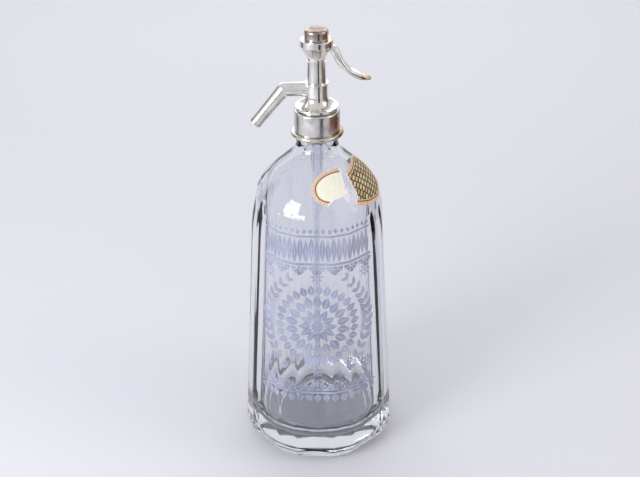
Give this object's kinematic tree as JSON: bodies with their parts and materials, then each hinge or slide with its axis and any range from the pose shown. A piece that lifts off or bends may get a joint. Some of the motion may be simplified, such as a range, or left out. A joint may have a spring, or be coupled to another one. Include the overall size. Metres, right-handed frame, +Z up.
{
  "type": "soda siphon",
  "caption": "Glass soda siphon: faceted bottle, plated head with bent spout, and a side lever that lifts a sprung valve inside the head.",
  "frame": {"origin": "centre of the foot, on the surface that the siphon stands on", "axes": "+Z up along the bottle's axis, the spout points to -X and the lever to +X, the front faces -Y"},
  "size_m": [0.1128, 0.1128, 0.318],
  "materials": {
    "clear_glass": "pressed clear glass, slightly grey, with a frosted etched panel on the front",
    "plated_head": "polished nickel plate, a little worn",
    "plated_collar": "nickel plate, worn soft",
    "plated_lever": "polished nickel plate, brassy where it is handled",
    "bare_brass": "turned brass",
    "steel_rod": "drawn steel",
    "black_rubber": "moulded rubber",
    "cream_paper": null,
    "gilt_paper": null
  },
  "bodies": {
    "siphon": {"bottle": "clear_glass", "neck_ring": "plated_collar", "split_ring": "bare_brass", "collar": "plated_collar", "mouth_washer": "black_rubber", "dip_tube": "clear_glass", "tube_washer": "black_rubber", "tube_nut": "bare_brass", "head_body": "plated_head", "seat_bush": "bare_brass", "spout": "plated_head", "packing": "black_rubber", "packing_washer": "bare_brass", "gland_nut": "bare_brass", "valve_spring": "steel_rod", "cap_washer": "black_rubber", "top_cap": "plated_head", "lever_pin": "bare_brass", "label_left": "cream_paper", "label_right": "gilt_paper"},
    "lever": {"lever": "plated_lever"},
    "valve": {"valve_disc": "black_rubber", "valve_cup": "bare_brass", "spindle": "steel_rod", "lift_collar": "bare_brass", "spring_seat": "bare_brass"}
  },
  "joints": [
    {"name": "lever_press", "type": "hinge", "parent": "siphon", "child": "lever", "pos_m": [0.0066, 0, 0.3059], "axis": [0, 1, 0], "range_deg": [0, 15], "stiffness_Nm_per_rad": 0.5, "springref_deg": -11.46},
    {"name": "valve_lift", "type": "slide", "parent": "siphon", "child": "valve", "axis": [0, 0, 1], "range_m": [0, 0.0018], "deforming": ["valve_spring"]}
  ],
  "couplings": [
    {"joint": "valve_lift", "follows": "lever_press", "m_per_rad": 0.0066}
  ]
}
